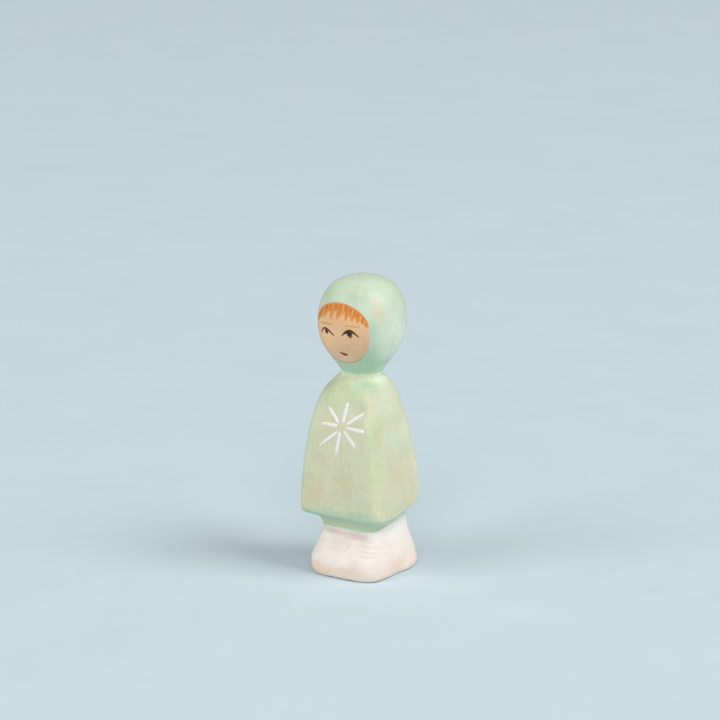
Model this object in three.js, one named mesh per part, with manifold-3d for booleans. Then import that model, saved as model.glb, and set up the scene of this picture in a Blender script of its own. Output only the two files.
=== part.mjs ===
// A hooded child for pretend play, carved from lime wood and painted.
// Three blocks stand on each other: a flared foot, a cape and a turned head under its hood.
// Glued dowel pins hold them together. The figure looks along -Y and +Z is up. The origin is
// the middle of the footprint, on the table. All sizes are in millimetres.

import * as THREE from "three";
import { mergeVertices } from "three/addons/utils/BufferGeometryUtils.js";
import Module from "manifold-3d";

const wasm = await Module();
wasm.setup();

// Head: a turned egg, blunt at the crown and drawn in to a narrow seat on the neck.
const headDiameter = 24.5;
const headHeight = 26.7;
const cheekHeight = 14.2; // the widest place, above the seat
const crownLevel = 8.8; // how far the crown leaves its axis level
const templeRise = 7.4; // how far the sides stay upright above the cheeks
const cheekFall = 7.6; // and below them
const jawReach = 2.75; // how far the jaw leans out over the neck
const jawRise = 4.4;
const headOffset = 0.35; // the head stands a little to the figure's left
const crownLean = 0.6; // and its crown leans that way

// Cape: round at the neck, square at the hem, swelling all the way down and undercut below.
const capeHeight = 42.75;
const neckDiameter = 11.6;
const neckHeight = 1.4;
const shoulderWidth = 18.4;
const shoulderFront = 11.8; // the chest is fuller than the back
const shoulderBack = 5.2;
const shoulderFall = 0.3;
const hemWidth = 27.3;
const hemFront = 12.3;
const hemBack = 11.4;
const hemSwell = 0.4; // the cape is fullest a little above its hem
const hemSwellHeight = 13;
const hemDrop = 3.05; // from the hem's front down to the cape's seat on the foot
const hemRound = 0.6;
const hemSweep = 4.5; // the hem sweeps up from front to back, most of all at the very back
const hemSquareness = 7.6;
const squaringEnd = 0.46; // share of the side, from the neck down, that turns from round to square
const coveFront = 0.8; // share of the drop where the hollow undercut turns upright, in front
const coveBack = 0.35; // and at the back

// Foot block: drawn in under the hem and flared to a broad sole with a worn lower edge.
const footHeight = 14.55;
const waistWidth = 18.2;
const waistFront = 8.5;
const waistBack = 10.2;
const waistSquareness = 6.5;
const waistRise = 2.2; // the joint slopes up from front to back
const backFlare = 0.3; // share of the height where the back stays upright under the joint
const soleWidth = 23.4;
const soleDepth = 25.6;
const soleHeight = 3.6;
const soleRound = 1.2;
const soleSquareness = 4.8;
const footOffset = 0.75; // the foot stands a little to the figure's left

// Dowel pins: fluted beech, one in the neck and two side by side in the foot.
const neckDowelDiameter = 5;
const neckDowelLength = 20;
const footDowelDiameter = 4;
const footDowelLength = 14;
const footDowelSpacing = 8;
const dowelChamfer = 0.5;
const fluteDepth = 0.25;
const fluteCount = 12;
const glueGap = 0.3; // around a dowel and past each of its ends

const roundSquareness = 2; // the squareness of a circle

// Fineness of the facets.
const headSegments = 56;
const headSteps = 14;
const holeSegments = 24;
const ringPoints = 60;
const cornerCrowding = 0.4; // draws the points of a ring towards its corners
const flankSteps = 20;
const hemSteps = 4;
const undercutSteps = 5;
const flareSteps = 9;
const soleSteps = 4;

// Colours of the washes and of bare wood, all matt.
const hoodMint = 0xcbdfc6;
const capeMint = 0xced3b4;
const footWhite = 0xefe6de;
const beech = 0xd9b68a;
const woodFinish = { roughness: 0.75, metalness: 0 };

// Closed triangle mesh to solid: shared corners are joined and triangles without area left out.
function solidFrom(geometry) {
  const bare = geometry.clone();
  bare.deleteAttribute("normal");
  bare.deleteAttribute("uv");
  const joined = mergeVertices(bare);
  const corners = joined.index.array;
  const triangles = [];
  for (let i = 0; i < corners.length; i += 3) {
    const [a, b, c] = corners.slice(i, i + 3);
    if (a !== b && b !== c && c !== a) {
      triangles.push(a, b, c);
    }
  }
  return new wasm.Manifold(
    new wasm.Mesh({
      numProp: 3,
      vertProperties: new Float32Array(joined.attributes.position.array),
      triVerts: new Uint32Array(triangles),
    }),
  );
}

// Cuts holes into a block and gives the mesh back.
function drill(block, holes) {
  const drilled = holes.reduce((solid, hole) => solid.subtract(solidFrom(hole)), solidFrom(block));
  const mesh = drilled.getMesh();
  const geometry = new THREE.BufferGeometry();
  geometry.setAttribute("position", new THREE.Float32BufferAttribute(mesh.vertProperties, 3));
  geometry.setIndex(Array.from(mesh.triVerts));
  geometry.computeVertexNormals();
  return geometry;
}

// One outline across the figure: a rectangle whose corners are fuller the squarer it is.
// The front reaches towards -Y and the back towards +Y. The slope gives the rise along Y.
function ring({ height, width, front, back, squareness, offset, slope = () => 0 }) {
  const points = [];
  for (let i = 0; i < ringPoints; i += 1) {
    const even = (2 * Math.PI * i) / ringPoints;
    const angle = even + (cornerCrowding * Math.sin(4 * even)) / 4;
    const across = Math.cos(angle);
    const along = Math.sin(angle);
    const depth = along < 0 ? front : back;
    const crossing = Math.abs((2 * across) / width) ** squareness + Math.abs(along / depth) ** squareness;
    const reach = crossing ** (-1 / squareness);
    const x = reach * across;
    const y = reach * along;
    points.push(new THREE.Vector3(x + offset, y, height + slope(y)));
  }
  return points;
}

// Skins rings, from the top one to the bottom one, and closes both ends.
function loft(rings) {
  const points = rings.flat();
  const indices = [];
  const closeEnd = (first, towardsTop) => {
    const middle = new THREE.Vector3();
    for (let i = 0; i < ringPoints; i += 1) {
      middle.addScaledVector(points[first + i], 1 / ringPoints);
      const here = first + i;
      const next = first + ((i + 1) % ringPoints);
      indices.push(...(towardsTop ? [here, next] : [next, here]), points.length);
    }
    points.push(middle);
  };
  for (let row = 1; row < rings.length; row += 1) {
    const above = (row - 1) * ringPoints;
    const below = row * ringPoints;
    for (let i = 0; i < ringPoints; i += 1) {
      const next = (i + 1) % ringPoints;
      indices.push(above + i, below + i, below + next);
      indices.push(above + i, below + next, above + next);
    }
  }
  closeEnd(0, true);
  closeEnd((rings.length - 1) * ringPoints, false);
  const geometry = new THREE.BufferGeometry().setFromPoints(points);
  geometry.setIndex(indices);
  return geometry;
}

// A round hole along Z, from one height to another.
function dowelHole(diameter, x, bottom, top) {
  const radius = diameter / 2 + glueGap;
  const hole = new THREE.CylinderGeometry(radius, radius, top - bottom, holeSegments);
  hole.rotateX(Math.PI / 2);
  hole.translate(x, 0, (bottom + top) / 2);
  return hole;
}

// A fluted pin with chamfered ends, standing on its lower end.
function dowelPin(diameter, length) {
  const section = new THREE.Shape();
  for (let i = 0; i < 2 * fluteCount; i += 1) {
    const radius = diameter / 2 - (i % 2) * fluteDepth;
    const angle = (Math.PI * i) / fluteCount;
    const x = radius * Math.cos(angle);
    const y = radius * Math.sin(angle);
    if (i === 0) {
      section.moveTo(x, y);
    } else {
      section.lineTo(x, y);
    }
  }
  const pin = new THREE.ExtrudeGeometry(section, {
    depth: length - 2 * dowelChamfer,
    bevelThickness: dowelChamfer,
    bevelSize: dowelChamfer,
    bevelOffset: -dowelChamfer,
    bevelSegments: 1,
  });
  return pin.translate(0, 0, dowelChamfer);
}

// The turned head, from its seat up, with the hole for the neck dowel.
function headShape() {
  const radius = headDiameter / 2;
  const neck = neckDiameter / 2;
  const profile = new THREE.Path();
  profile.moveTo(0, 0);
  profile.lineTo(neck, 0);
  profile.bezierCurveTo(neck + jawReach, jawRise, radius, cheekHeight - cheekFall, radius, cheekHeight);
  profile.bezierCurveTo(radius, cheekHeight + templeRise, crownLevel, headHeight, 0, headHeight);
  const egg = new THREE.LatheGeometry(profile.getPoints(headSteps), headSegments);
  egg.rotateX(Math.PI / 2);
  const places = egg.attributes.position;
  for (let i = 0; i < places.count; i += 1) {
    const rise = Math.max(0, places.getZ(i) - cheekHeight) / (headHeight - cheekHeight);
    places.setX(i, places.getX(i) + crownLean * rise ** 2);
  }
  const depth = neckDowelLength / 2 + glueGap;
  return drill(egg, [dowelHole(neckDowelDiameter, 0, -glueGap, depth)]);
}

// How much higher the hem lies at a place than at its front.
function hemSlope(y) {
  return hemSweep * ((y + hemFront) / (hemFront + hemBack)) ** 3;
}

// How much higher the joint between cape and foot lies at a place than in its middle.
function waistSlope(y) {
  return (waistRise * y) / (waistFront + waistBack);
}

// The outline of the joint between cape and foot.
function waist(height) {
  return ring({
    height,
    width: waistWidth,
    front: waistFront,
    back: waistBack,
    squareness: waistSquareness,
    offset: footOffset,
    slope: waistSlope,
  });
}

// How far a side of the cape reaches at each height, from the neck down to the rounded hem.
// Points of the curve hold the reach in x and the height above the cape's seat in y.
function flank(shoulder, hem, seat) {
  const neck = neckDiameter / 2;
  const top = capeHeight - neckHeight;
  const inward = new THREE.Vector2(seat - hem, -hemDrop).setLength(hemRound);
  const edge = new THREE.Vector2(hem, hemDrop);
  const above = new THREE.Vector2(hem, hemDrop + hemRound);
  const side = new THREE.CubicBezierCurve(
    new THREE.Vector2(neck, top),
    new THREE.Vector2(shoulder, top - shoulderFall),
    new THREE.Vector2(hem + hemSwell, hemDrop + hemSwellHeight),
    above,
  );
  const rounding = new THREE.QuadraticBezierCurve(above, edge, edge.clone().add(inward));
  return [...side.getPoints(flankSteps), ...rounding.getPoints(hemSteps).slice(1)];
}

// The cape, from its seat on the foot up to the neck, with the dowel holes at both ends.
function capeShape() {
  const widths = flank(shoulderWidth / 2, hemWidth / 2, waistWidth / 2);
  const fronts = flank(shoulderFront, hemFront, waistFront);
  const backs = flank(shoulderBack, hemBack, waistBack);
  const neck = { width: neckDiameter, front: neckDiameter / 2, back: neckDiameter / 2 };
  const rings = [
    ring({ ...neck, height: capeHeight, squareness: roundSquareness, offset: headOffset }),
  ];
  widths.forEach((side, i) => {
    const fall = Math.min(1, i / flankSteps);
    const squaring = THREE.MathUtils.smoothstep(fall, 0, squaringEnd);
    rings.push(
      ring({
        height: side.y,
        width: 2 * side.x,
        front: fronts[i].x,
        back: backs[i].x,
        squareness: THREE.MathUtils.lerp(roundSquareness, hemSquareness, squaring),
        offset: headOffset * (1 - squaring),
        slope: (y) => fall ** 2 * hemSlope(y),
      }),
    );
  });
  const hem = rings.at(-1);
  const coves = waist(0).map((seat, i) => {
    const backward = (seat.y + waistFront) / (waistFront + waistBack);
    const upright = THREE.MathUtils.lerp(coveFront, coveBack, backward);
    const turn = seat.clone().setZ(THREE.MathUtils.lerp(seat.z, hem[i].z, upright));
    return new THREE.QuadraticBezierCurve3(hem[i], turn, seat);
  });
  for (let i = 1; i <= undercutSteps; i += 1) {
    rings.push(coves.map((cove) => cove.getPoint(i / undercutSteps)));
  }
  const neckHole = dowelHole(
    neckDowelDiameter,
    headOffset,
    capeHeight - neckDowelLength / 2 - glueGap,
    capeHeight + glueGap,
  );
  const depth = footDowelLength / 2 + glueGap;
  const footHoles = footDowelPlaces().map((x) => dowelHole(footDowelDiameter, x, -waistRise, depth));
  return drill(loft(rings), [neckHole, ...footHoles]);
}

// The two foot dowels, along X.
function footDowelPlaces() {
  return [footOffset - footDowelSpacing / 2, footOffset + footDowelSpacing / 2];
}

// The foot block, from the sole up to the waist, with the two dowel holes.
function footShape() {
  const rings = [];
  const band = { width: soleWidth, front: soleDepth / 2, back: soleDepth / 2 };
  for (let i = 0; i <= flareSteps; i += 1) {
    const fall = i / flareSteps;
    const flare = THREE.MathUtils.smoothstep(fall, 0, 1);
    const lateFlare = THREE.MathUtils.smoothstep(fall, backFlare, 1);
    rings.push(
      ring({
        height: THREE.MathUtils.lerp(footHeight, soleHeight, fall),
        width: THREE.MathUtils.lerp(waistWidth, band.width, flare),
        front: THREE.MathUtils.lerp(waistFront, band.front, flare),
        back: THREE.MathUtils.lerp(waistBack, band.back, lateFlare),
        squareness: THREE.MathUtils.lerp(waistSquareness, soleSquareness, fall),
        offset: footOffset,
        slope: (y) => (1 - fall) * waistSlope(y),
      }),
    );
  }
  for (let i = 1; i <= soleSteps; i += 1) {
    const angle = (Math.PI * i) / (2 * soleSteps);
    const inset = soleRound * (1 - Math.cos(angle));
    rings.push(
      ring({
        height: soleHeight * (1 - Math.sin(angle)),
        width: band.width - 2 * inset,
        front: band.front - inset,
        back: band.back - inset,
        squareness: soleSquareness,
        offset: footOffset,
      }),
    );
  }
  const bottom = footHeight - footDowelLength / 2 - glueGap;
  const holes = footDowelPlaces().map((x) =>
    dowelHole(footDowelDiameter, x, bottom, footHeight + waistRise),
  );
  return drill(loft(rings), holes);
}

// Adds a named piece to the figure.
function addPiece(figure, name, geometry, colour, x, z) {
  const material = new THREE.MeshStandardMaterial({ color: colour, ...woodFinish });
  const piece = new THREE.Mesh(geometry, material);
  piece.name = name;
  piece.position.set(x, 0, z);
  figure.add(piece);
}

const figure = new THREE.Group();
const neckSeat = footHeight + capeHeight;

addPiece(figure, "foot_block", footShape(), footWhite, 0, 0);
addPiece(figure, "cape", capeShape(), capeMint, 0, footHeight);
addPiece(figure, "hooded_head", headShape(), hoodMint, headOffset, neckSeat);

const neckPin = dowelPin(neckDowelDiameter, neckDowelLength);
addPiece(figure, "neck_dowel", neckPin, beech, headOffset, neckSeat - neckDowelLength / 2);

const footDowelNames = ["foot_dowel_right", "foot_dowel_left"];
footDowelPlaces().forEach((x, i) => {
  const pin = dowelPin(footDowelDiameter, footDowelLength);
  addPiece(figure, footDowelNames[i], pin, beech, x, footHeight - footDowelLength / 2);
});

export default figure;
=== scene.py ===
# %% [markdown]
# # A hooded wooden child, painted by hand
# The toy is three small blocks of lime wood: a turned head, a carved cape and a flared foot. The
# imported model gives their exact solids, in metres, and this lesson dresses them: smooth hand-sanded
# wood, thin washes of paint with the grain showing, a painted face, hair and a star.
# The frame is loaded first, because every piece is laid on it and none of it may move.

# %% Load the frame
import math

import bpy
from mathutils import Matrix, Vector


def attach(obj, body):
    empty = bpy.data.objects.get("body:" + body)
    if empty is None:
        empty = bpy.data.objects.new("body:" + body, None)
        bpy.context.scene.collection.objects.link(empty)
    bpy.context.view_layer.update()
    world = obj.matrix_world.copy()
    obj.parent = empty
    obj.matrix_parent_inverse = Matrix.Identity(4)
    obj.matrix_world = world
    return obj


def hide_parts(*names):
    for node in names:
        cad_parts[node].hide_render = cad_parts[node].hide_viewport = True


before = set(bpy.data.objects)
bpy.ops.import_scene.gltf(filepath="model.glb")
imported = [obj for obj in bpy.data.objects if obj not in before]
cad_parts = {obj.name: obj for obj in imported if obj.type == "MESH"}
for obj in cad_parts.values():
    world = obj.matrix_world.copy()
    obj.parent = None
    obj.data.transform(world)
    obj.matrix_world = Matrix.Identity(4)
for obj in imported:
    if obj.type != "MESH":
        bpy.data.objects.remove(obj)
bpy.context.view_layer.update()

MM = 0.001
bpy.context.scene.view_settings.view_transform = "Standard"
print("solids:", sorted(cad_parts))

# %% [markdown]
# ## The camera
# The photograph looks down a little on the figure's left front corner, from far away through a long
# lens. A camera could be aimed by eye, but the angles were worked out from the figure's outline, so
# it is turned to them and moved back along its own line of sight.

# %% Set up the camera
camera_turn = math.radians(32.906)  # to the figure's left of straight in front
camera_rise = math.radians(14.327)
camera_distance = 1.0
sensor_width = 36  # mm, a common size of film
picture_width = 198.72 * MM  # how much of the scene the picture takes in at that distance
aim = Vector((-2.48, 3.243, 58.712)) * MM

to_camera = Vector((
    math.sin(camera_turn) * math.cos(camera_rise),
    -math.cos(camera_turn) * math.cos(camera_rise),
    math.sin(camera_rise),
))
bpy.ops.object.camera_add(
    location=aim + to_camera * camera_distance,
    rotation=(math.pi / 2 - camera_rise, 0, camera_turn),
)
camera = bpy.context.object
camera.data.sensor_width = sensor_width
camera.data.lens = sensor_width * camera_distance / picture_width
bpy.context.scene.camera = camera
print("lens in mm:", round(camera.data.lens, 1))

# %% [markdown]
# ## The table and the light
# The figure stands on a wide sheet of pale blue paper. A large soft box high on the right gives the
# darker shadow, a weaker and lower one on the left gives the paler shadow, and one over the camera
# lights the front. They hang far away, so the paper is lit evenly, and an even, slightly cool room
# fills the rest. All of it is weak enough that a colour shows about as it is written.

# %% Lay the paper and hang the soft boxes
bpy.ops.object.select_all(action="DESELECT")
bpy.ops.mesh.primitive_plane_add(size=12, location=(0, 0, -0.02 * MM))
paper = bpy.context.object
paper.name = "paper"
bpy.ops.object.mode_set(mode="EDIT")
bpy.ops.mesh.subdivide(number_cuts=8)
bpy.ops.object.mode_set(mode="OBJECT")
bpy.ops.object.transform_apply(location=True, rotation=True, scale=True)

across = Vector((math.cos(camera_turn), math.sin(camera_turn), 0))  # to the camera's right
towards = Vector((math.sin(camera_turn), -math.cos(camera_turn), 0))
middle = Vector((0, 0, 40 * MM))
lamp_distance = 7.0
lamp_side = 3.6
lamp_white = (1, 0.985, 0.98)


def soft_box(name, right, front, up, watts):
    """Hangs a square lamp in that direction, looking at the middle of the figure."""
    direction = (across * right + towards * front + Vector((0, 0, up))).normalized()
    bpy.ops.object.light_add(
        type="AREA", location=middle + direction * lamp_distance,
        rotation=direction.to_track_quat("Z", "Y").to_euler())
    lamp = bpy.context.object
    lamp.name = name
    lamp.data.size = lamp_side
    lamp.data.energy = watts
    lamp.data.color = lamp_white
    lamp.visible_camera = False
    return lamp


right_box = soft_box("right_box", 0.59, 0.32, 0.74, 264)
left_box = soft_box("left_box", -0.69, 0.38, 0.62, 138)
front_box = soft_box("front_box", 0.0, 0.77, 0.60, 164)
print("soft boxes:", [lamp.data.energy for lamp in (right_box, left_box, front_box)], "watts")

# %% Fill the room with even light
room = bpy.data.worlds.new("even_room")
room.use_nodes = True
bpy.context.scene.world = room
room_light = room.node_tree.nodes["Background"]
room_light.inputs["Color"].default_value = (0.9, 1, 1, 1)
room_light.inputs["Strength"].default_value = 0.31
print("room strength:", room_light.inputs["Strength"].default_value)

# %% [markdown]
# ## Three blocks of sanded wood
# A carver saws the blocks, rounds them with a knife and sands them, so they have soft edges, true
# flat seats where they are glued, and faces that are never quite even. The shapes could be modelled
# again from cubes, but the solids already are the right blocks. So each block starts as a copy of
# its solid: its loose triangles are merged and joined to quads, its sharp rims are creased, and
# subdivision turns the facets into smooth curves. A cloudy push of about a tenth of a millimetre
# then leaves the waves that sandpaper leaves, but not on the seats, the sole or the drilled holes.
# The hem and the joint below it slope, so each point keeps how far down the way between two such
# lines it lies, and the paint can follow them later.

# %% Tools for the blocks
rim_angle = math.radians(40)  # a seat's rim is sharper than this, a rounded edge is not


def pick(*pieces):
    """Selects these pieces alone, and makes the first one active."""
    bpy.ops.object.select_all(action="DESELECT")
    for piece in pieces:
        piece.select_set(True)
    bpy.context.view_layer.objects.active = pieces[0]


def choose_points(piece, test):
    """Selects the points of a mesh whose place in mm passes the test, and stays in edit mode."""
    pick(piece)
    bpy.ops.object.mode_set(mode="EDIT")
    bpy.ops.mesh.select_mode(type="VERT")
    bpy.ops.mesh.select_all(action="DESELECT")
    bpy.ops.object.mode_set(mode="OBJECT")
    for point in piece.data.vertices:
        point.select = test(point.co / MM)
    bpy.ops.object.mode_set(mode="EDIT")


def apply_modifier(piece, kind, **settings):
    """Adds one modifier, sets it and applies it to the mesh."""
    pick(piece)
    modifier = piece.modifiers.new(kind.lower(), kind)
    for name, value in settings.items():
        setattr(modifier, name, value)
    bpy.ops.object.modifier_apply(modifier=modifier.name)


def sanded_block(solid, name, is_outside, way_down, wave, depth):
    """A smooth copy of a solid, uneven by depth mm in waves of wave mm where is_outside says."""
    block = bpy.data.objects.new(name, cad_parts[solid].data.copy())
    bpy.context.scene.collection.objects.link(block)
    block.data.materials.clear()
    pick(block)
    bpy.ops.mesh.customdata_custom_splitnormals_clear()
    bpy.ops.object.mode_set(mode="EDIT")
    bpy.ops.mesh.select_mode(type="EDGE")
    bpy.ops.mesh.select_all(action="SELECT")
    bpy.ops.mesh.remove_doubles(threshold=0.001 * MM)
    bpy.ops.mesh.tris_convert_to_quads(face_threshold=rim_angle, shape_threshold=math.radians(115))
    bpy.ops.mesh.select_all(action="DESELECT")
    bpy.ops.mesh.edges_select_sharp(sharpness=rim_angle)
    bpy.ops.transform.edge_crease(value=1)
    bpy.ops.object.mode_set(mode="OBJECT")
    apply_modifier(block, "SUBSURF", levels=2, render_levels=2)

    outside = block.vertex_groups.new(name="outside")
    outside.add([p.index for p in block.data.vertices if is_outside(p.co / MM)], 1, "REPLACE")
    clouds = bpy.data.textures.new(name + "_waves", "CLOUDS")
    clouds.noise_scale = wave * MM
    clouds.noise_depth = 1
    apply_modifier(block, "DISPLACE", texture=clouds, texture_coords="LOCAL",
                   vertex_group="outside", strength=depth * MM, mid_level=0.5)
    pick(block)
    bpy.ops.object.shade_smooth_by_angle(angle=rim_angle)
    shares = block.data.attributes.new("way_down", "FLOAT", "POINT")
    for point, share in zip(block.data.vertices, shares.data):
        share.value = way_down(point.co / MM)
    print(name, "has", len(block.data.polygons), "faces")
    return block


print("a rim is sharper than", round(math.degrees(rim_angle)), "degrees")

# %% Say where the seats, the joints and the pins are
# All in mm, above the table or from the figure's middle.
neck_seat = 57.3  # where the head stands on the cape
foot_seat = 14.55  # where the cape stands on the foot, in the middle
joint_slope = 0.1176  # the joint rises by this share towards the back
hem_height = 17.6  # at the front
hem_sweep, hem_front, hem_depth = 4.5, 12.3, 23.7
cheek_height = 71.5
head_axis = 0.35  # the head stands this far to the figure's left
foot_axis = 0.75
neck_pin_reach, neck_pin_top = 4, 72  # room round the neck pin's hole
foot_pin_width, foot_pin_depth, foot_pin_top = 7.2, 4.5, 23  # and round the two in the foot


def foot_joint(p):
    """The height of the sloping joint between cape and foot at a point."""
    return foot_seat + joint_slope * p.y


def hem_edge(p):
    """The height of the hem, which sweeps up from the front to the back."""
    return hem_height + hem_sweep * ((p.y + hem_front) / hem_depth) ** 3


def near_neck_pin(p):
    return math.hypot(p.x - head_axis, p.y) <= neck_pin_reach


def near_foot_pins(p):
    return abs(p.x - foot_axis) < foot_pin_width and abs(p.y) < foot_pin_depth


print("heights of the seats in mm:", foot_seat, neck_seat)

# %% Sand the head, the cape and the foot
seat_margin = 0.1  # mm of wood beside a seat that the sandpaper doesn't reach
sole_margin = 0.4  # and above the sole


def outside_head(p):
    return p.z > neck_seat + seat_margin / 2 and (p.z > neck_pin_top or not near_neck_pin(p))


def outside_cape(p):
    on_seat = p.z < foot_joint(p) + seat_margin or p.z > neck_seat - seat_margin / 2
    in_foot_hole = p.z < foot_pin_top and near_foot_pins(p)
    return not on_seat and not in_foot_hole and not near_neck_pin(p)


def outside_foot(p):
    return sole_margin < p.z < foot_joint(p) - seat_margin and not near_foot_pins(p)


def cheeks_to_neck(p):
    return (cheek_height - p.z) / (cheek_height - neck_seat)


def hem_to_joint(p):
    return (hem_edge(p) - p.z) / (hem_edge(p) - foot_joint(p))


def joint_to_sole(p):
    return (foot_joint(p) - p.z) / foot_joint(p)


head = sanded_block("hooded_head", "head_wood", outside_head, cheeks_to_neck, wave=9, depth=0.22)
cape = sanded_block("cape", "cape_wood", outside_cape, hem_to_joint, wave=8, depth=0.3)
foot = sanded_block("foot_block", "foot_wood", outside_foot, joint_to_sole, wave=5, depth=0.3)

# %% [markdown]
# ## A sharper corner on the sole
# On the toy the sole's edge is sharper at its back left corner, as if it was sanded less there, and
# stands out by a few tenths of a millimetre. The rounding could be rebuilt, but the corner only has
# to be pulled. So its lowest points are chosen by their place and scaled outwards, with a soft
# falloff.

# %% Pull the sole's back left corner out
corner_left, corner_back, corner_top = 9, 5, 1.2  # mm: the corner lies past these, and below
choose_points(foot, lambda p: p.z < corner_top and p.x > corner_left and p.y > corner_back)
bpy.ops.transform.resize(
    value=(1.05, 1.05, 1), center_override=(foot_axis * MM, 0, 0), use_proportional_edit=True,
    proportional_edit_falloff="SMOOTH", proportional_size=4 * MM)
bpy.ops.object.mode_set(mode="OBJECT")
print("foot size in mm:", [round(side / MM, 2) for side in foot.dimensions])

# %% [markdown]
# ## The face
# The painter leaves a round window in the hood where the wood keeps its own warm skin colour. It
# could be a mask in the hood's material, but a thin film of its own keeps a crisp edge at any size.
# A circle is filled with a grid, stretched a little to one side and to the chin, and pushed at its
# temples and one cheek, as a hand would draw it. Then it is laid on the head point by point with a
# ray from the front, and thickened inwards.

# %% Cut the face film
face_rise = 12.25  # mm from the head's seat up to the middle of the face
face_middle = (head_axis, neck_seat + face_rise)  # x and z in mm
face_radius = 8.5
film_height = 0.03  # mm of stain and wax above the wood
before_the_figure = -0.1  # where a ray starts, in metres along Y


def lay_on(piece, carrier, lift=0.0):
    """Sets each point on the wood behind it, its own depth kept along the wood's normal."""
    bpy.context.view_layer.update()
    for point in piece.data.vertices:
        start = Vector((point.co.x, before_the_figure, point.co.z))
        found, place, normal, _ = carrier.ray_cast(start, Vector((0, 1, 0)))
        if not found:
            raise ValueError(f"{piece.name} reaches past the wood")
        point.co = place + normal * (lift * MM - point.co.y)


bpy.ops.object.select_all(action="DESELECT")
bpy.ops.mesh.primitive_circle_add(
    vertices=128, radius=face_radius * MM, rotation=(math.pi / 2, 0, 0),
    location=(face_middle[0] * MM, 0, face_middle[1] * MM))
face = bpy.context.object
face.name = "face"
bpy.ops.object.transform_apply(location=True, rotation=True, scale=True)
bpy.ops.object.mode_set(mode="EDIT")
bpy.ops.mesh.fill_grid(span=32)
bpy.ops.object.mode_set(mode="OBJECT")
choose_points(face, lambda p: p.x < face_middle[0] - 0.01)
bpy.ops.transform.resize(
    value=(1.05, 1, 1), center_override=(face_middle[0] * MM, 0, face_middle[1] * MM))
bpy.ops.object.mode_set(mode="OBJECT")
choose_points(face, lambda p: p.z < face_middle[1] - 0.01)
bpy.ops.transform.resize(
    value=(1, 1, 1.04), center_override=(face_middle[0] * MM, 0, face_middle[1] * MM))
bpy.ops.object.mode_set(mode="OBJECT")
# Each row is a push: the side, how low and how high it takes hold above the middle, how far in mm.
for side, low, high, push in (
        (-1, 3.5, 9, (-0.85, 0, 0.1)), (1, 3.5, 9, (0.2, 0, 0.25)), (1, -4, 1, (-0.3, 0, 0))):
    choose_points(face, lambda p: (
        side * (p.x - face_middle[0]) > 5.5 and low < p.z - face_middle[1] < high))
    bpy.ops.transform.translate(
        value=Vector(push) * MM, use_proportional_edit=True, proportional_edit_falloff="SMOOTH",
        proportional_size=5 * MM)
    bpy.ops.object.mode_set(mode="OBJECT")
lay_on(face, head, film_height)
apply_modifier(face, "SOLIDIFY", thickness=0.12 * MM, offset=-1)
bpy.ops.object.shade_smooth_by_angle(angle=rim_angle)
print("face film has", len(face.data.polygons), "faces")

# %% [markdown]
# ## Brush strokes
# Hair, brows, eyes, mouth and star are single strokes of a small brush. Paint from a brush lies
# thickest along its middle and runs out at its end. A curve with a width at each point has that
# shape: it is drawn as the painter drew it, seen from the front, made round, turned to a mesh,
# pressed flat to a lens and laid on the wood. Shrinkwrap would press it quite flat, so the ray that
# laid the face is used again. Each point keeps how far it is along the stroke, as its shade.

# %% A brush stroke
full_paint = 0.15  # a stroke's thickness as a share of its width
run_on = 0.35  # how far a stroke goes on past its last spot, as a share of the width there
run_out = 0.2  # and how much of the width is left


def brush_stroke(spots, carrier, lift=0.0, shade=0.0, fade=1.0, paint=full_paint):
    """One stroke through spots of (x, z, width) in mm. Shade goes from shade to shade + fade."""
    first, last = Vector(spots[0]), Vector(spots[-1])
    before = first - (Vector(spots[1]) - first).normalized() * first.z * run_on
    after = last - (Vector(spots[-2]) - last).normalized() * last.z * run_on
    drawn = [(before.x, before.y, run_out * first.z), *spots, (after.x, after.y, run_out * last.z)]

    bpy.ops.object.select_all(action="DESELECT")
    bpy.ops.curve.primitive_bezier_curve_add(enter_editmode=True)
    bpy.ops.curve.subdivide(number_cuts=len(drawn) - 2)
    bpy.ops.object.mode_set(mode="OBJECT")
    stroke = bpy.context.object
    stroke.data.bevel_depth = 0.5 * MM
    stroke.data.bevel_resolution = 2
    stroke.data.resolution_u = 5
    stroke.data.use_fill_caps = True
    line = stroke.data.splines[0]
    line.radius_interpolation = "CARDINAL"
    for point, (x, z, width) in zip(line.bezier_points, drawn):
        point.co = (x * MM, 0, z * MM)
        point.radius = width
    for point in line.bezier_points:
        point.handle_left_type = point.handle_right_type = "AUTO"
    bpy.ops.object.convert(target="MESH")
    stroke = bpy.context.object
    stroke.scale.y = paint
    bpy.ops.object.transform_apply(location=True, rotation=True, scale=True)

    run = Vector((last.x - first.x, 0, last.y - first.y))
    start = Vector((first.x, 0, first.y))
    shades = stroke.data.attributes.new("shade", "FLOAT", "POINT")
    for point, value in zip(stroke.data.vertices, shades.data):
        along = (point.co / MM - start).dot(run) / run.length_squared
        value.value = shade + fade * min(max(along, 0), 1)
    lay_on(stroke, carrier, lift)
    return stroke


def join_strokes(name, strokes):
    """Makes the strokes of one kind a single piece."""
    pick(*strokes)
    bpy.ops.object.join()
    piece = bpy.context.object
    piece.name = name
    bpy.ops.object.mode_set(mode="EDIT")
    bpy.ops.mesh.select_all(action="SELECT")
    bpy.ops.mesh.normals_make_consistent(inside=False)
    bpy.ops.object.mode_set(mode="OBJECT")
    bpy.ops.object.shade_smooth_by_angle(angle=math.radians(60))
    print(name, "has", len(strokes), "strokes")
    return piece


def on_head(*spots):
    """Moves spots that are measured from the head's axis and seat to the model's frame."""
    return [(x + head_axis, z + neck_seat, width) for x, z, width in spots]


print("a stroke 1 mm wide is", full_paint, "mm thick")

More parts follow.
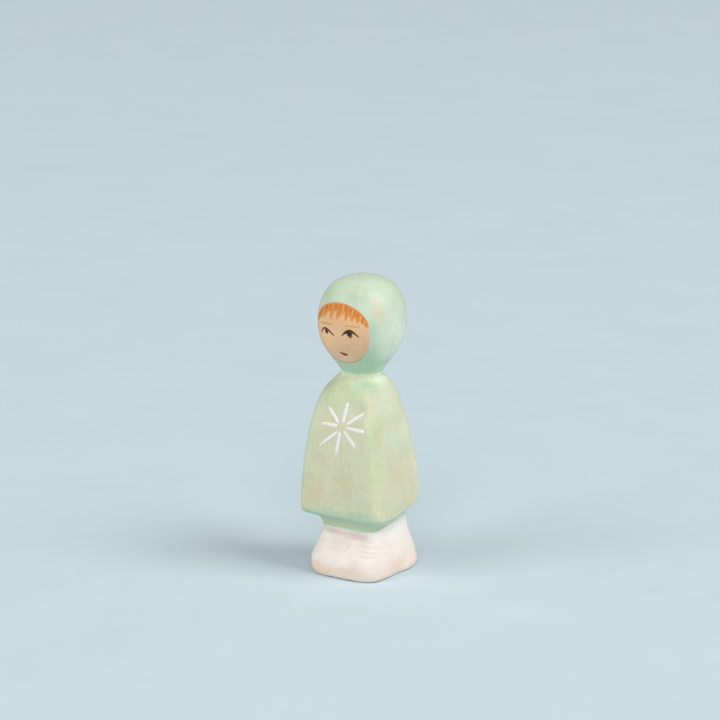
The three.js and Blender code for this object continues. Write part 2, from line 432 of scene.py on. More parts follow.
# %% [markdown]
# ## Hair
# A fringe of orange hair fills the top of the face. One broad stroke follows the hood's edge, and
# short blunt strokes are pulled down from it, wet at the root and dry at the tip, with gaps of
# skin between them. The last ones run down the edge on the figure's left. Dark and light strands, a
# third of a millimetre wide, run down from the crown. They could be a pattern in the paint, but
# drawn strands follow the hair.

# %% Paint the hair
def on_edge(degrees, inward, width):
    """A spot beside the face's edge, at an angle counted from the figure's left."""
    turn = math.radians(degrees)
    reach = face_radius - inward
    stretch = 1.15 if math.cos(turn) < 0 else 1.02
    return (reach * stretch * math.cos(turn), face_rise + reach * math.sin(turn), width)


crown_hair = [on_edge(*spot) for spot in (
    (158, 0.9, 0.8), (145, 0.9, 1.5), (127, 0.9, 1.9), (107, 0.9, 2.0), (87, 0.9, 2.0),
    (67, 0.85, 1.9), (47, 0.7, 1.6), (31, 0.55, 1.2), (19, 0.5, 0.6))]
hair_strokes = [
    brush_stroke(on_head(*crown_hair), head, film_height, 0.66, -0.26, paint=0.04)]

# Each row is a stroke: root x and z, tip x and z, width, shade.
fringe = [
    (-8.1, 16.4, -8.25, 15.2, 0.80, 0.70), (-6.7, 17.8, -7.0, 15.9, 1.0, 0.62),
    (-5.5, 18.3, -5.85, 16.1, 0.90, 0.66), (-4.7, 18.8, -4.95, 16.4, 0.80, 0.55),
    (-4.0, 19.2, -4.15, 17.8, 0.70, 0.47), (-2.5, 19.9, -2.50, 16.4, 1.10, 0.51),
    (-1.8, 20.1, -1.90, 17.6, 0.70, 0.40), (-0.35, 20.2, -0.3, 16.6, 0.90, 0.40),
    (0.40, 20.2, 0.45, 17.4, 0.80, 0.25), (1.20, 20.1, 1.30, 17.9, 0.70, 0.44),
    (2.20, 19.9, 2.40, 16.6, 0.90, 0.29), (3.00, 19.6, 3.15, 17.5, 0.80, 0.40),
    (3.80, 19.3, 4.05, 16.5, 0.90, 0.33), (4.60, 18.8, 4.75, 17.7, 0.80, 0.40),
    (5.20, 18.3, 5.50, 16.0, 0.85, 0.33), (5.95, 17.8, 6.15, 16.9, 0.75, 0.44),
    (6.70, 17.2, 7.20, 15.5, 0.85, 0.33), (7.20, 16.4, 7.75, 14.9, 0.60, 0.40),
]
for root_x, root_z, tip_x, tip_z, width, shade in fringe:
    half = (0.5 * (root_x + tip_x) + 0.06, 0.5 * (root_z + tip_z))
    spots = [(root_x, root_z, 0.9 * width), (*half, width), (tip_x, tip_z, 0.7 * width)]
    hair_strokes.append(
        brush_stroke(on_head(*spots), head, film_height + 0.02, shade, 0.38, paint=0.1))

# Each row is a thin strand pulled down from the crown: its angle on the edge, its length, its shade.
strands = [
    (152, 1.2, 0.15), (146, 1.6, 0.80), (139, 1.8, 0.10), (131, 1.3, 0.15), (125, 1.7, 0.75),
    (118, 2.1, 0.10), (109, 1.4, 0.15), (103, 1.5, 0.80), (97, 2.0, 0.10), (88, 1.2, 0.10),
    (82, 1.8, 0.70), (76, 2.2, 0.10), (67, 1.4, 0.10), (62, 1.6, 0.80), (57, 2.0, 0.10),
    (49, 1.4, 0.15), (43, 1.5, 0.85), (38, 1.8, 0.15), (32, 1.3, 0.85), (27, 1.4, 0.30),
]
for degrees, length, shade in strands:
    x, z, _ = on_edge(degrees, 0.3, 0)
    spots = [(x, z, 0.22), (x + 0.05, z - 0.5 * length, 0.34), (x + 0.02, z - length, 0.15)]
    hair_strokes.append(
        brush_stroke(on_head(*spots), head, film_height + 0.07, shade, 0.3, paint=0.08))
hair = join_strokes("hair", hair_strokes)

# %% [markdown]
# ## Brows, eyes and mouth
# The brows are thin strokes of a watery orange. Each eye is a dark lid, drawn in one arch, and a
# round drop that hangs from it over a little brown, which also shows at the inner corner of the
# figure's left eye. The mouth is one short red stroke, fuller at its end. All of it could be one
# painted picture, but strokes on the wood stay sharp and catch the light as paint does.

# %% Paint the brows, the eyes and the mouth
brow_spots = [
    [(-6.9, 14.35, 0.35), (-5.4, 14.55, 0.55), (-3.6, 14.75, 0.65), (-1.9, 14.9, 0.4)],
    [(1.9, 15.0, 0.35), (3.2, 15.0, 0.5), (4.7, 14.92, 0.6), (5.95, 14.8, 0.4)],
]
brows = join_strokes("brows", [
    brush_stroke(on_head(*spots), head, film_height, 1.0, -0.4) for spots in brow_spots])

iris_spots = [
    [(3.4, 12.35, 0.9), (3.75, 12.05, 1.1), (4.05, 12.0, 0.65)],
    [(-4.5, 12.75, 0.7), (-4.35, 12.35, 0.9), (-4.0, 11.95, 0.6)],
    [(1.15, 12.0, 0.3), (1.6, 12.45, 0.45), (2.2, 12.95, 0.45)],
]
iris = join_strokes("iris", [
    brush_stroke(on_head(*spots), head, film_height, 0.0, 0.4) for spots in iris_spots])

lid_spots = [
    [(-6.6, 11.65, 0.35), (-5.7, 12.8, 0.5), (-4.65, 13.3, 0.62), (-3.1, 12.85, 0.56),
     (-1.45, 11.75, 0.35)],
    [(1.75, 12.65, 0.45), (2.6, 13.2, 0.8), (3.5, 13.42, 1.05), (4.6, 13.05, 0.62),
     (5.65, 12.0, 0.34)],
]
drop_spots = [
    [(-4.4, 12.9, 0.7), (-4.05, 12.5, 1.0), (-3.75, 12.15, 0.75)],
    [(3.3, 13.15, 1.0), (3.4, 12.6, 1.35), (3.45, 12.1, 0.9)],
]
eye_shades = [(0.4, 0.3), (-0.3, 1.05), (0.1, 0.2), (0.0, 0.1)]  # at the start, and its change
eyes = join_strokes("eyes", [
    brush_stroke(on_head(*spots), head, film_height + 0.03, shade, fade)
    for (shade, fade), spots in zip(eye_shades, lid_spots + drop_spots)])

mouth_spots = [(-0.45, 6.95, 0.32), (0.35, 6.65, 0.68), (1.1, 6.45, 0.85), (1.75, 6.5, 0.6)]
mouth = join_strokes("mouth", [brush_stroke(on_head(*mouth_spots), head, film_height, 0.0, 0.4)])

# %% [markdown]
# ## The star
# Eight white strokes on the chest make an old folk ornament, a star with an open middle. None is
# like the next: some start thick, some run out to a point. So they are drawn one by one, at the
# places and widths they have on the toy, and not copied round a centre.

# %% Paint the star
star_spots = [
    [(1.24, 44.80, 0.9), (1.65, 47.3, 1.05), (2.07, 49.8, 0.95)],
    [(-0.32, 44.49, 0.75), (-2.0, 46.35, 1.0), (-3.74, 48.26, 0.5)],
    [(2.53, 44.38, 0.6), (4.9, 46.05, 0.85), (7.31, 47.76, 0.4)],
    [(-0.72, 43.56, 0.85), (-3.1, 43.6, 0.98), (-5.50, 43.55, 0.6)],
    [(2.24, 43.33, 0.55), (5.1, 43.15, 0.95), (7.8, 42.93, 1.05)],
    [(-0.40, 41.82, 0.6), (-3.1, 39.7, 0.78), (-5.86, 37.43, 0.25)],
    [(0.43, 41.75, 0.75), (0.0, 38.8, 1.0), (-0.45, 35.9, 0.65)],
    [(1.79, 42.22, 0.45), (3.7, 40.35, 0.9), (5.45, 38.6, 0.85)],
]
star = join_strokes("star", [brush_stroke(spots, cape, 0.02, 0.0, 1.0) for spots in star_spots])

# %% [markdown]
# ## Tools for the finishes
# Colours are chosen as sRGB hex values, and a shader needs them linear. One small function adds a
# node, sets it and links it, so a finish reads from top to bottom like a recipe. Hand-laid paint has
# patches with soft edges, and so have the patches of painted light and shade, so another helper says
# how much of a patch lies at a point.

# %% Colour and node tools
def linear(colour):
    """A hex colour such as #d0e0c8 as the linear RGBA that a shader takes."""
    parts = [int(colour[i:i + 2], 16) / 255 for i in (1, 3, 5)]
    return (*(c / 12.92 if c <= 0.04045 else ((c + 0.055) / 1.055) ** 2.4 for c in parts), 1)


def node(material, kind, inputs=None, stops=None, **settings):
    """Adds a shader node. An input is a number, a colour or a pair of a node and its output."""
    tree = material.node_tree
    made = tree.nodes.new("ShaderNode" + kind)
    for name, value in settings.items():
        setattr(made, name, value)
    for name, value in (inputs or {}).items():
        if isinstance(value, tuple) and isinstance(value[0], bpy.types.Node):
            tree.links.new(value[0].outputs[value[1]], made.inputs[name])
        else:
            made.inputs[name].default_value = value
    for number, (place, colour) in enumerate(stops or []):
        elements = made.color_ramp.elements
        stop = elements[number] if number < 2 else elements.new(place)
        stop.position, stop.color = place, linear(colour)
    return made


def new_material(name):
    """An empty material with its shader, and the piece's own coordinates in mm."""
    material = bpy.data.materials.new(name)
    material.use_nodes = True
    shader = material.node_tree.nodes["Principled BSDF"]
    own = node(material, "TexCoord")
    in_mm = node(material, "Mapping", {"Vector": (own, "Object"), "Scale": (1000, 1000, 1000)})
    return material, shader, in_mm


def join(material, target, socket, source, output):
    """Links an output of one node to a socket of another."""
    material.node_tree.links.new(source.outputs[output], target.inputs[socket])


def patch_amount(material, in_mm, place, reach, share):
    """How much of a soft-edged patch lies at a point: share at its middle, none past its reach."""
    centred = node(material, "Mapping", {
        "Vector": (in_mm, "Vector"), "Location": place, "Scale": reach}, vector_type="TEXTURE")
    away = node(material, "VectorMath", {0: (centred, "Vector")}, operation="LENGTH")
    return node(material, "MapRange", {
        "Value": (away, "Value"), "From Min": 1.0, "From Max": 0.1, "To Max": share},
        interpolation_type="SMOOTHSTEP")


print("white is", linear("#ffffff"))

# %% [markdown]
# ## Washed lime wood
# Lime is pale and fine, with faint lines along the trunk, which stands upright in every block.
# The paint is a thin wash that sinks in: cloudy where the brush was fuller, with warm wood showing
# through in worn places and along edges. All three blocks have that in common, so one recipe makes
# them: clouds between a thin and a full wash, upright grain, patches at their own places, some of
# them painted light and shade, worn edges, and a bump from grain and brush. Real lime grain is about
# 0.3 mm wide and its pores under 0.1 mm. Both are drawn coarser, because such fine marks don't show
# at the picture's 0.28 mm to a pixel.

# %% The wash recipe
grain_width = 0.7  # mm, coarser than the real grain so that it shows
grain_length = 12  # times as long as it is wide
pore_width = 0.5  # mm, coarser than the real pores so that they show
speckle_width = 1.8  # mm, where a drying brush skips
lathe_step = 0.9  # mm from one level line of a lathe tool to the next
waxed_wood_ior = 1.48


def washed_lime(name, thin, full, bare, pore, coats, cloud, brush, dry, grain_share, wear, roughness,
                lathe_lines=0.0):
    """Wash from thin to full in clouds of cloud mm, on bare wood with pores of a darker colour.

    Coats are laid in their order, and some of them are painted light or painted shade. One is a
    patch, with its middle and reach in mm, its colour and its share at the middle, or a band: where
    on the way down it starts and where it is full, its colour and its share. Brush stretches the
    speckles, dry is what they leave of a coat, and lathe_lines is the turned lines' height in mm.
    """
    material, shader, in_mm = new_material(name)

    # The brush leaves clouds of fuller and thinner wash.
    clouds = node(material, "TexNoise", {
        "Vector": (in_mm, "Vector"), "Scale": 1 / cloud, "Detail": 4.0, "Roughness": 0.6})
    colour = node(material, "ValToRGB", {"Fac": (clouds, "Fac")}, [(0.34, full), (0.68, thin)])
    paint = (colour, "Color")

    # Fine upright lines follow the trunk.
    upright = node(material, "Mapping", {
        "Vector": (in_mm, "Vector"), "Scale": (1, 1, 1 / grain_length)})
    grain = node(material, "TexNoise", {
        "Vector": (upright, "Vector"), "Scale": 1 / grain_width, "Detail": 3.0,
        "Roughness": 0.65})
    grain_amount = node(material, "MapRange", {
        "Value": (grain, "Fac"), "From Min": 0.42, "From Max": 0.75, "To Max": grain_share})
    grained = node(material, "Mix", {
        0: (grain_amount, "Result"), 6: paint, 7: linear(bare)}, data_type="RGBA")
    paint = (grained, 2)

    # Pores are small darker dots.
    pores = node(material, "TexNoise", {
        "Vector": (in_mm, "Vector"), "Scale": 1 / pore_width, "Detail": 2.0, "Roughness": 0.7})
    pore_amount = node(material, "MapRange", {
        "Value": (pores, "Fac"), "From Min": 0.5, "From Max": 0.75, "To Max": 0.3})
    dotted = node(material, "Mix", {
        0: (pore_amount, "Result"), 6: paint, 7: linear(pore)}, data_type="RGBA")
    paint = (dotted, 2)

    # The coats are broken up by speckles that follow the brush.
    brushed_way = node(material, "Mapping", {"Vector": (in_mm, "Vector"), "Scale": brush})
    speckle = node(material, "TexNoise", {
        "Vector": (brushed_way, "Vector"), "Scale": 1 / speckle_width, "Detail": 5.0,
        "Roughness": 0.65})
    broken = node(material, "MapRange", {
        "Value": (speckle, "Fac"), "From Min": 0.36, "From Max": 0.6, "To Min": dry})
    way_down = node(material, "Attribute", attribute_name="way_down")
    for place, reach, coat, share in coats:
        if isinstance(place, tuple):
            laid = patch_amount(material, in_mm, place, reach, share)
        else:
            laid = node(material, "MapRange", {
                "Value": (way_down, "Fac"), "From Min": place, "From Max": reach, "To Max": share},
                interpolation_type="SMOOTHSTEP")
        amount = node(material, "Math", {
            0: (laid, "Result"), 1: (broken, "Result")}, operation="MULTIPLY")
        mixed = node(material, "Mix", {
            0: (amount, "Value"), 6: paint, 7: linear(coat)}, data_type="RGBA")
        paint = (mixed, 2)

    # Edges that stick out are rubbed back towards bare wood.
    shape = node(material, "NewGeometry")
    edge = node(material, "MapRange", {
        "Value": (shape, "Pointiness"), "From Min": 0.51, "From Max": 0.56, "To Max": wear})
    rubbed = node(material, "Math", {
        0: (edge, "Result"), 1: (broken, "Result")}, operation="MULTIPLY")
    worn = node(material, "Mix", {
        0: (rubbed, "Value"), 6: paint, 7: linear(bare)}, data_type="RGBA")
    join(material, shader, "Base Color", worn, 2)

    shine = node(material, "MapRange", {
        "Value": (clouds, "Fac"), "From Min": 0.3, "From Max": 0.7,
        "To Min": roughness + 0.06, "To Max": roughness - 0.06})
    join(material, shader, "Roughness", shine, "Result")
    relief = node(material, "Bump", {
        "Height": (grain, "Fac"), "Strength": 0.35, "Distance": 0.06 * MM})
    relief = node(material, "Bump", {
        "Height": (speckle, "Fac"), "Normal": (relief, "Normal"), "Strength": 0.3,
        "Distance": 0.08 * MM})
    if lathe_lines:
        # A lathe tool leaves level lines. A wave texture of scale 1 repeats every 2 pi / 20.
        turned = node(material, "TexWave", {
            "Vector": (in_mm, "Vector"), "Scale": 2 * math.pi / 20 / lathe_step, "Distortion": 1.2,
            "Detail": 2.0, "Detail Scale": 0.4}, wave_type="BANDS", bands_direction="Z")
        relief = node(material, "Bump", {
            "Height": (turned, "Fac"), "Normal": (relief, "Normal"), "Strength": 0.5,
            "Distance": lathe_lines * MM})
    join(material, shader, "Normal", relief, "Normal")
    shader.inputs["IOR"].default_value = waxed_wood_ior
    print(name, "has", len(material.node_tree.nodes), "nodes")
    return material


print("grain and pores in mm:", grain_width, pore_width)

# %% [markdown]
# ## Mint on the hood
# The hood has the fullest wash and a coat of wax, which gives the eye a soft sheen over even colour.
# The mint is deepest in a ring under the chin and beside the face, partly a fuller wash and partly
# painted shade with a painted reflection of the green cape. It is paler low on the side, as painted
# light, and rubbed pinkish on the temple, where a small painted highlight sits under painted shade
# on the crown. A flat colour with a stain on top could do it, but coats laid in the painter's order
# give soft edges.

# %% Wash the hood
hood_coats_and_painted_light = [
    # Painted light low on the figure's left side, where the hood turns away from the lamps.
    ((12.0, 1.0, 67), (6, 10, 13), "#e6eedd", 0.85),
    ((11.0, 4.0, 63.5), (7, 14, 6), "#f0fbec", 0.8),
    # Deep mint under the chin and by the face: fuller wash, painted shade, painted cape reflection.
    ((6.6, -9.3, 63.0), (6, 6, 6), "#9fd0ad", 0.95),
    ((-6.0, -9.3, 63.0), (6, 6, 6), "#97c9a6", 0.8),
    ((9.3, -8.6, 69), (2.6, 3.4, 7), "#b2c8b0", 0.9),
    # Rubbed pinkish on the temple, held darker as painted shade where the lamps fall strongest.
    ((9.8, -7.0, 76), (2.8, 3.0, 3.4), "#dcc6ac", 0.9),
    ((10.6, -5.6, 73.4), (2.6, 2.8, 2.6), "#dfd0b0", 0.6),
    # Greyer green over the brow and crown, darker still as painted shade under the top light.
    ((-4.0, -9.0, 80), (5, 4, 4), "#c3d3b0", 0.6),
    ((2.0, -3.0, 84), (9, 9, 4), "#c0cdb6", 0.8),
    ((4.5, -8.6, 79.6), (7, 6, 5.5), "#b0c0a4", 0.9),
    # Rubbed places at both temples, painted shade above the figure's left one, a painted highlight.
    ((-7.0, -8.5, 77), (3.2, 3.6, 3), "#ecdcc8", 0.55),
    ((8.6, -6.6, 78.6), (2.4, 2.6, 2.6), "#d6c8b4", 0.8),
    ((8.0, -3.9, 81.0), (3.5, 3.5, 2.4), "#bccdb0", 0.7),
    ((8.7, -4.4, 78.4), (1.6, 1.7, 1.3), "#fdf6ea", 0.8),
    # A deeper ring above the neck, partly painted shade under the head.
    (0.62, 0.92, "#abd6b3", 0.7),
    # Lighter on the hood's lowest edge at both sides: painted light where it turns down into shade.
    ((-1.8, -6.2, 57.5), (5, 3.2, 2.2), "#cde6cb", 0.9),
    ((7.8, 0.0, 58.6), (3.2, 5, 2.6), "#d8f0d8", 0.9),
]
hood_wash = washed_lime(
    "mint_wash_waxed_lime", "#d0dcc4", "#c2d7ba", "#d9d3b4", "#bcd0b0", hood_coats_and_painted_light,
    cloud=7, brush=(1, 1, 0.6), dry=0.4, grain_share=0.2, wear=0.0, roughness=0.48,
    lathe_lines=0.02)
head.data.materials.append(hood_wash)

# %% [markdown]
# ## Thin mint on the cape
# On the cape the wash is so thin that the wood turns it olive, and the eye sees matt wood with its
# grain and pores. It is greener at the neck and the shoulders, rubbed to tan low on the front and
# pinkish on the side, and it has pooled to a clear blue-green along the hem and at the joint below.
# Some coats are painted light and shade: paler round the neck and in the hollow under the hem,
# darker on the shoulders and down the front corner, with painted shadow under the head.
# One green with a grain in it could stand for that, but no place would be thinner than the next, so
# the same recipe lays more coats, and thinner ones.

# %% Wash the cape
cape_coats_and_painted_light = [
    # Pale mint round the neck, paler still as painted light in the head's shadow.
    ((0.35, 0, 57.5), (9, 9, 5), "#d6f0d6", 1.0),
    ((7.0, -1.0, 56), (5, 6, 3.6), "#dcf2dc", 0.7),
    # Painted shadow under the head at the front.
    ((3.4, -6.2, 57.2), (4.5, 2.5, 1.0), "#b4d0b0", 0.8),
    ((-4.0, -5.0, 56.8), (2.6, 2.6, 1.6), "#f0fff0", 0.8),
    # Darker and greener over the shoulders: a fuller wash, and painted shade under the top light.
    ((4.0, -8.0, 51.5), (6, 6, 6), "#c0cda4", 0.9),
    ((-6.0, -7.0, 50), (6, 6, 6), "#b6c49e", 0.8),
    ((-4.7, -7.0, 53), (4.5, 4.5, 4), "#a6bb98", 0.8),
    ((-0.5, -7.8, 53.8), (4.5, 4, 3), "#b8c4a2", 0.8),
    ((4.5, -7.0, 54.4), (4.5, 4, 3.4), "#b2ccac", 0.9),
    ((6.8, -6.0, 54), (4.5, 4.5, 3.6), "#a8bf9e", 0.9),
    ((7.2, -9.0, 50), (3.5, 4, 6), "#bac2a2", 0.8),
    # Thinner down the sides, wood showing on the chest, and painted shade down the front corner.
    ((9.5, -1.7, 50), (6, 8, 9), "#dbe7d2", 0.6),
    ((10.5, -10.0, 38), (4, 4, 16), "#bdc8a2", 0.6),
    ((-1.0, -11.5, 43), (7, 3, 7), "#d8ceac", 0.5),
    ((13.0, -2.0, 40), (5, 7, 10), "#d2dfc8", 0.6),
    ((12.3, 5.0, 41), (4, 5, 9), "#e0e8da", 0.6),
    ((13.4, 9.0, 28), (4, 5, 13), "#eeeadd", 0.7),
    ((-9.5, -9.0, 46), (5, 5, 10), "#dee6d4", 0.6),
    ((-13.0, -10.5, 33), (5, 5, 17), "#dce6ce", 0.7),
    # Rubbed by hands: tan on the front, pinkish on the side.
    ((-8.0, -12.4, 23.8), (6, 3, 7), "#d4bf96", 0.45),
    ((-5.4, -12.4, 33.6), (4, 2.5, 3), "#d6c098", 0.45),
    ((2.0, -12.5, 27), (6, 3, 8), "#cec79e", 0.5),
    ((13.4, -0.4, 30.5), (3, 5, 9), "#dfcaae", 0.6),
    ((13.6, 5, 25), (3, 5, 7), "#ddd0b2", 0.5),
    # Green pooled along the front of the hem and at its corner.
    ((1.0, -12.5, 17.6), (24, 3.5, 3.2), "#adcbb0", 1.0),
    ((9.0, -11.5, 18.8), (6, 4, 2.8), "#a8c9ae", 0.9),
    ((-9.0, -11.5, 17.2), (6, 4.5, 1.9), "#94c2a8", 1.0),
    # A clear line on the hem's edge, tan wood in the hollow and green again at the joint.
    # All three are laid lighter, as painted light against the shade in the hollow.
    (-0.08, 0.03, "#b2d8bf", 0.8),
    (0.3, 0.55, "#d2d6b1", 0.85),
    (0.8, 0.97, "#abdbb6", 0.9),
    # Painted light in the hollow on the figure's left, where the hem's overhang casts shade.
    ((12.0, 1.0, 16.2), (5.5, 14, 3.0), "#ecfff0", 1.0),
]
cape_wash = washed_lime(
    "thin_mint_wash_lime", "#e0ddbf", "#d3d5b1", "#d2c49a", "#9ca076", cape_coats_and_painted_light,
    cloud=6, brush=(1, 1, 0.5), dry=0.45, grain_share=0.4, wear=0.15, roughness=0.62)
cape.data.materials.append(cape_wash)

# %% [markdown]
# ## Whitewash on the foot
# The foot is brushed white, which gives the eye a chalky, dry surface without a sheen. Handling has
# worn it to pinkish tan low down, the level brush left grey streaks under the hem, and one dark
# fleck sits in the middle of the front. Painted light whitens it where the hem's overhang shades it,
# and painted shade greys its front corner. It could be one white with a dirt mask, but the same
# recipe with a dry brush drawn level gives the streaks.

# %% Wash the foot
foot_coats_and_painted_light = [
    # Painted light on the figure's left, where the hem's overhang shades the top of the foot.
    ((11.5, 2.0, 13), (5, 12, 4), "#fffaf5", 1.0),
    ((11.5, 2.0, 11), (5, 10, 6), "#f6e9e2", 0.85),
    # Handled to tan low down.
    ((-5.0, -12.7, 2.1), (6.5, 3, 2.6), "#fcc88c", 0.9),
    ((4.0, -12.8, 2.4), (6, 3, 2.4), "#ecc9ae", 0.8),
    ((12.2, -1.0, 3.4), (3, 9, 2.6), "#f2cdb8", 0.8),
    # Grey streaks under the hem.
    ((4.5, -9.2, 12.2), (8, 3, 2.0), "#d4b8a8", 0.8),
    ((-3.5, -9.0, 12.4), (6, 3, 1.4), "#cdb5a6", 0.8),
    # The front corner: painted shade greys it below, painted light whitens its top under the hem.
    ((9.0, -9.5, 8), (5, 4.5, 7), "#dccdc4", 1.0),
    ((9.5, -7.0, 13.2), (5, 5, 2.0), "#fff6f1", 1.0),
    # The dark fleck.
    ((2.5, -10.9, 9.2), (0.35, 1.2, 0.5), "#7d6d60", 1.0),
    # Worn low down, and clean again on the very edge.
    (0.56, 0.86, "#fcdcc6", 0.65),
    (0.95, 0.98, "#f6f0ea", 0.9),
]
foot_wash = washed_lime(
    "dry_whitewash_lime", "#faeee8", "#f2e3db", "#dcc4aa", "#c2aea0", foot_coats_and_painted_light,
    cloud=4, brush=(0.25, 0.25, 4), dry=0.25, grain_share=0.15, wear=0.1, roughness=0.75)
foot.data.materials.append(foot_wash)

# %% [markdown]
# ## Skin, hair and paint strokes
# The face is lime wood stained to a warm skin and waxed, so the eye sees wood under a faint sheen:
# the curved lines of the growth rings on the cheek, a warmer brow and a pinkish rim where the hood's
# paint ends. On the figure's right the skin is lighter and warmer, partly as painted light, and the
# cheek beside the hood on the figure's left is darkened as painted shade. The strokes are body
# colour, which lies opaque on the wood: denser at the start, lighter where the brush runs out,
# streaked by its hairs. Each paint could have its own nodes, but the shade kept along a stroke lets
# one recipe mix them all.

# %% Stain the face
stain_cloud = 4  # mm from one cloud of stain to the next
ring_scale = 0.3  # which sets the growth rings about 1 mm apart

face_skin, face_shader, face_mm = new_material("stained_waxed_lime")
face_clouds = node(face_skin, "TexNoise", {
    "Vector": (face_mm, "Vector"), "Scale": 1 / stain_cloud, "Detail": 4.0, "Roughness": 0.6})
face_colour = node(face_skin, "ValToRGB", {"Fac": (face_clouds, "Fac")},
                   [(0.35, "#dfb98f"), (0.65, "#eac396")])
ring_middle = node(face_skin, "Mapping", {
    "Vector": (face_mm, "Vector"), "Location": (-3.5, -12, 63), "Scale": (1, 1, 1.5)},
    vector_type="TEXTURE")
rings = node(face_skin, "TexWave", {
    "Vector": (ring_middle, "Vector"), "Scale": ring_scale, "Distortion": 9.0, "Detail": 4.0,
    "Detail Scale": 1.4}, wave_type="RINGS", rings_direction="Y")
ring_amount = node(face_skin, "MapRange", {
    "Value": (rings, "Fac"), "From Min": 0.6, "From Max": 1.0, "To Max": 0.16})
ringed = node(face_skin, "Mix", {
    0: (ring_amount, "Result"), 6: (face_colour, "Color"), 7: linear("#b59a72")}, data_type="RGBA")
skin = (ringed, 2)
# Warmer skin; the figure's right temple and cheek partly painted light, its left cheek painted shade.
for place, reach, patch_colour, share in (
        ((1.5, -11.5, 74), (8, 5, 4), "#edb784", 0.9),
        ((-6.8, -8.6, 72.2), (4.5, 4.5, 6), "#ffcb96", 1.0),
        ((-4.5, -11.0, 68), (7, 5, 7.5), "#fecb98", 0.9),
        ((7.8, -9.3, 67.5), (2.0, 4, 6), "#dcae90", 0.7),
        ((0.5, -10.0, 62), (6, 5, 3.5), "#eccaaa", 0.7),
        ((5.2, -10.0, 71), (4.5, 4, 4), "#e6b286", 0.7)):
    near = patch_amount(face_skin, face_mm, place, reach, share)
    mixed = node(face_skin, "Mix", {
        0: (near, "Result"), 6: skin, 7: linear(patch_colour)}, data_type="RGBA")
    skin = (mixed, 2)
from_middle = node(face_skin, "Mapping", {
    "Vector": (face_mm, "Vector"), "Location": (face_middle[0], 0, face_middle[1]),
    "Scale": (face_radius, 1000, face_radius)}, vector_type="TEXTURE")
rim_place = node(face_skin, "VectorMath", {0: (from_middle, "Vector")}, operation="LENGTH")
rim = node(face_skin, "MapRange", {
    "Value": (rim_place, "Value"), "From Min": 0.965, "From Max": 0.99, "To Max": 0.45})
rimmed = node(face_skin, "Mix", {
    0: (rim, "Result"), 6: skin, 7: linear("#c4957a")}, data_type="RGBA")
join(face_skin, face_shader, "Base Color", rimmed, 2)
face_relief = node(face_skin, "Bump", {
    "Height": (rings, "Fac"), "Strength": 0.2, "Distance": 0.04 * MM})
join(face_skin, face_shader, "Normal", face_relief, "Normal")
face_shader.inputs["Roughness"].default_value = 0.5
face_shader.inputs["IOR"].default_value = waxed_wood_ior
face.data.materials.append(face_skin)
print(face_skin.name, "has", len(face_skin.node_tree.nodes), "nodes")

# %% Mix the brush paints
hair_spacing = 0.45  # mm between the marks of the brush's hairs
dried_paint_ior = 1.5


def brush_paint(name, wet, dry, streak, roughness):
    """Body colour from wet to dry along a stroke, with streaks from the brush's hairs."""
    material, shader, in_mm = new_material(name)
    along = node(material, "Attribute", attribute_name="shade")
    colour = node(material, "ValToRGB", {"Fac": (along, "Fac")}, [(0.0, wet), (1.0, dry)])
    hairs = node(material, "TexNoise", {
        "Vector": (in_mm, "Vector"), "Scale": 1 / hair_spacing, "Detail": 3.0, "Roughness": 0.6})
    amount = node(material, "MapRange", {
        "Value": (hairs, "Fac"), "From Min": 0.4, "From Max": 0.7, "To Max": 0.5})
    mixed = node(material, "Mix", {
        0: (amount, "Result"), 6: (colour, "Color"), 7: linear(streak)}, data_type="RGBA")
    join(material, shader, "Base Color", mixed, 2)
    relief = node(material, "Bump", {
        "Height": (hairs, "Fac"), "Strength": 0.3, "Distance": 0.03 * MM})
    join(material, shader, "Normal", relief, "Normal")
    shader.inputs["Roughness"].default_value = roughness
    shader.inputs["IOR"].default_value = dried_paint_ior
    return material


# Each row is a piece, its paint's name, its wet, dry and streak colours, and its roughness.
paints = [
    (hair, "orange_body_colour", "#b04e1c", "#faa64c", "#e28a30", 0.55),
    (brows, "thin_orange_wash", "#dc8f4a", "#eaac70", "#e39c58", 0.55),
    (iris, "brown_body_colour", "#94481a", "#c8843e", "#a85a20", 0.5),
    (eyes, "dark_body_colour", "#1c1410", "#a04e1e", "#4a2a18", 0.45),
    (mouth, "red_body_colour", "#981a1e", "#a82c2c", "#9c2022", 0.5),
    (star, "white_body_colour", "#f9f4f1", "#f3eeea", "#eae6df", 0.6),
]
for piece, *paint in paints:
    piece.data.materials.append(brush_paint(*paint))
print("paints:", [name for _, name, *_ in paints])

# %% [markdown]
# ## Beech pins and blue paper
# The dowel pins are bare beech, which the eye knows by its warm colour and short flecks. They hide
# in their holes, so they keep their solids. The paper is plain and matt, with clouds of fibre so
# faint that they only take the computer's smoothness away.

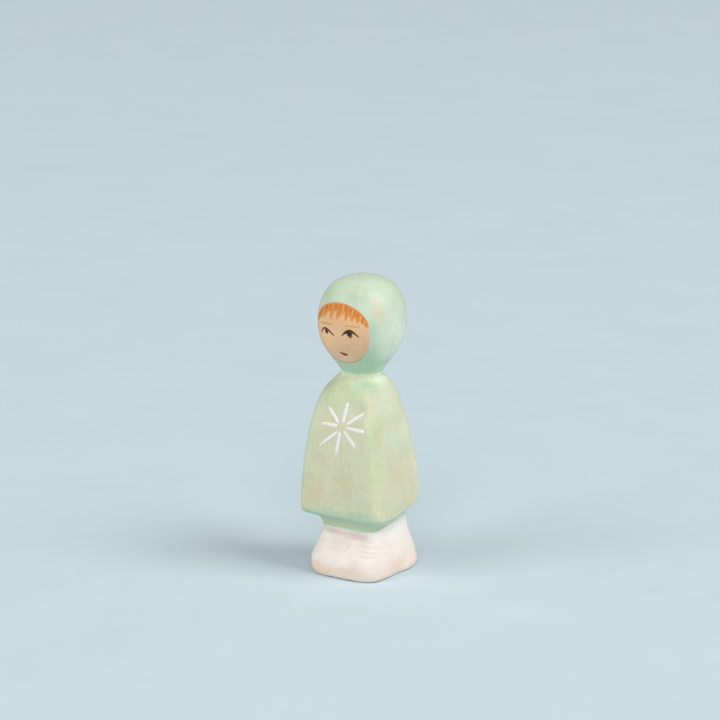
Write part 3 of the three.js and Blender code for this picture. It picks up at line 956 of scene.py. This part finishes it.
# %% Finish the pins and the paper
fleck_width = 0.5  # mm
fleck_length = 6  # times as long as it is wide
fibre_width = 40  # mm from one cloud of fibre to the next

beech, beech_shader, beech_mm = new_material("planed_beech")
beech_lines = node(beech, "Mapping", {
    "Vector": (beech_mm, "Vector"), "Scale": (1, 1, 1 / fleck_length)})
flecks = node(beech, "TexNoise", {
    "Vector": (beech_lines, "Vector"), "Scale": 1 / fleck_width, "Detail": 3.0})
beech_colour = node(beech, "ValToRGB", {"Fac": (flecks, "Fac")},
                    [(0.35, "#c79c6c"), (0.65, "#dcb98c")])
join(beech, beech_shader, "Base Color", beech_colour, "Color")
beech_shader.inputs["Roughness"].default_value = 0.6
pins = [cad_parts[n] for n in ("neck_dowel", "foot_dowel_left", "foot_dowel_right")]
for pin in pins:
    pin.data.materials[0] = beech

paper_blue, paper_shader, paper_mm = new_material("matt_blue_paper")
fibre = node(paper_blue, "TexNoise", {
    "Vector": (paper_mm, "Vector"), "Scale": 1 / fibre_width, "Detail": 6.0, "Roughness": 0.7})
paper_colour = node(paper_blue, "ValToRGB", {"Fac": (fibre, "Fac")},
                    [(0.3, "#c8d8df"), (0.7, "#ccdbe2")])
join(paper_blue, paper_shader, "Base Color", paper_colour, "Color")
paper_shader.inputs["Roughness"].default_value = 0.9
paper_shader.inputs["Specular IOR Level"].default_value = 0.2
paper.data.materials.append(paper_blue)
print("pins:", [pin.name for pin in pins])

# %% [markdown]
# ## Put the pieces on the frame
# Nothing on the toy moves, so every piece rides on the one body. The three blocks stand for their
# solids.

# %% Ride and replace
finishes = [
    (head, "hood_paint"), (cape, "cape_paint"), (foot, "foot_paint"), (face, "face_wood"),
    (hair, "hair_paint"), (brows, "hair_paint"), (iris, "hair_paint"), (eyes, "dark_paint"),
    (mouth, "lip_paint"), (star, "star_paint"),
]
for piece, finish in finishes:
    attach(piece, "root")
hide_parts("hooded_head")
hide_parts("cape")
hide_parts("foot_block")
print("pieces:", [piece.name for piece, _ in finishes])
